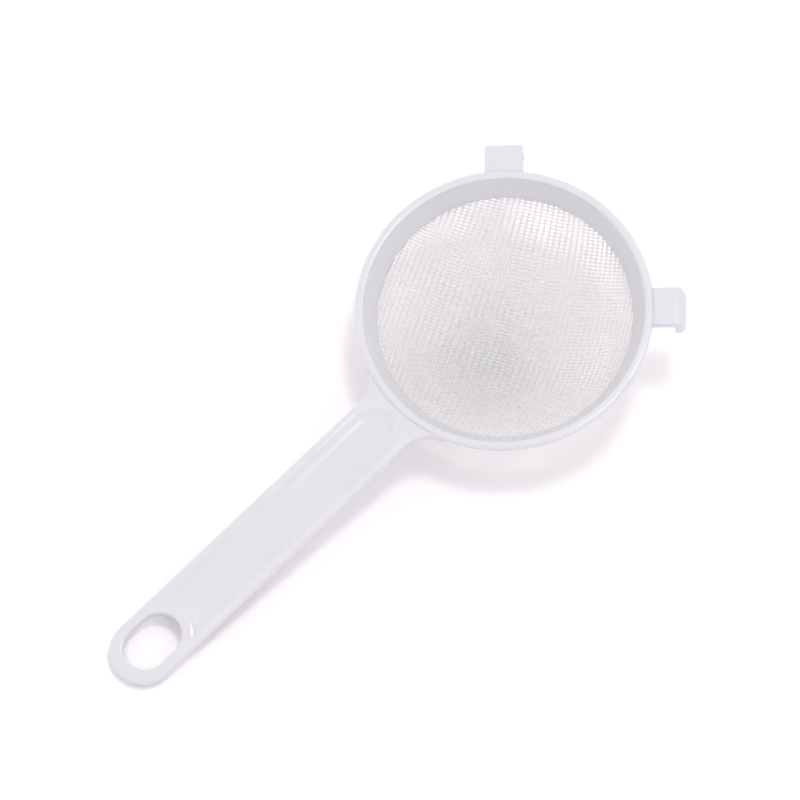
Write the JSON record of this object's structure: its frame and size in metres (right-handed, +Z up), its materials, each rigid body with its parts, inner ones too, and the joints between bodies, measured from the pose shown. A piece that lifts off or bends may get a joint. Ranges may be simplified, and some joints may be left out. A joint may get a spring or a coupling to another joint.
{
  "type": "hand strainer",
  "caption": "Small round hand strainer: a bowl of woven net in two layers, held by a moulded ring with a long flat handle, a hanging hole and rim hooks.",
  "frame": {"origin": "on the table, under the middle of the strainer's bounding box, as it lies on the bottom of the bowl and the tip of the handle", "axes": "+Z up; +Y along the strainer, from the tip of the handle towards the ring; +X to the right"},
  "size_m": [0.07, 0.1568, 0.03],
  "materials": {
    "plastic": "smooth, slightly see-through white moulding",
    "net": "open weave of fine white nylon thread"
  },
  "bodies": {
    "root": {"strainer_frame": "plastic", "inner_net": "net", "outer_net": "net"}
  },
  "joints": []
}
